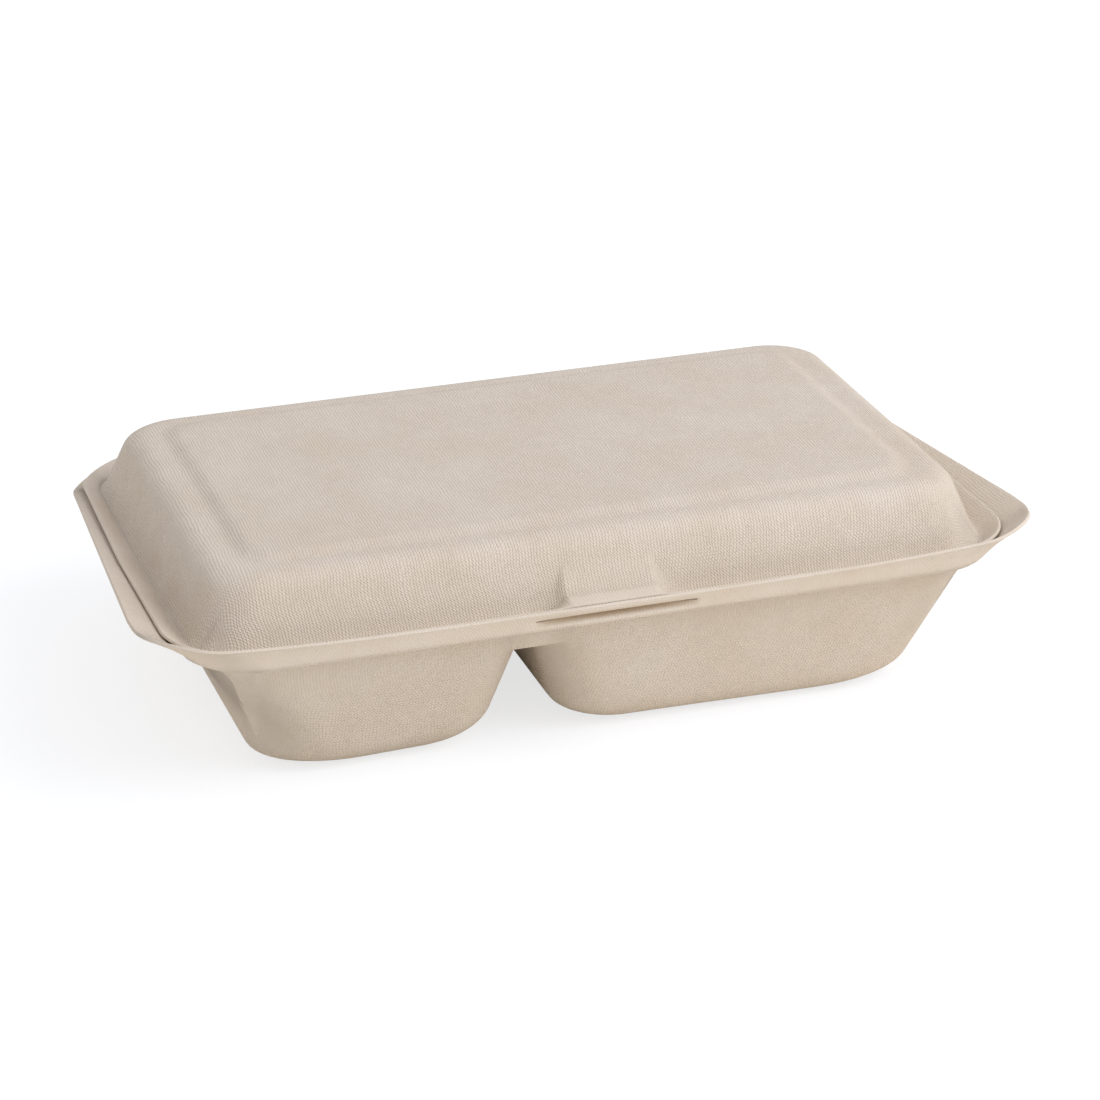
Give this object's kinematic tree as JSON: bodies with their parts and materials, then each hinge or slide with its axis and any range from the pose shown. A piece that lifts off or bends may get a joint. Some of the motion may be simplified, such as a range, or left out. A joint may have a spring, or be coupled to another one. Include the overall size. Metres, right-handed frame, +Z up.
{
  "type": "clamshell food container",
  "caption": "Two-compartment clamshell food container of moulded bagasse pulp, with a flared rim, a latch slit and a lid hinged along the back",
  "frame": {"origin": "bottom centre of the closed container, on the plane it stands on", "axes": "+X along the length, towards the larger compartment; +Y towards the hinge; -Y is the latch side; +Z up"},
  "size_m": [0.2466, 0.145, 0.0611],
  "materials": {
    "pulp": "matte"
  },
  "bodies": {
    "base": {"base_tray": "pulp"},
    "lid": {"lid": "pulp"}
  },
  "joints": [
    {"name": "lid_hinge", "type": "hinge", "parent": "base", "child": "lid", "pos_m": [0, 0.0727, 0.04015], "axis": [-1, 0, 0], "range_deg": [0, 180]}
  ]
}
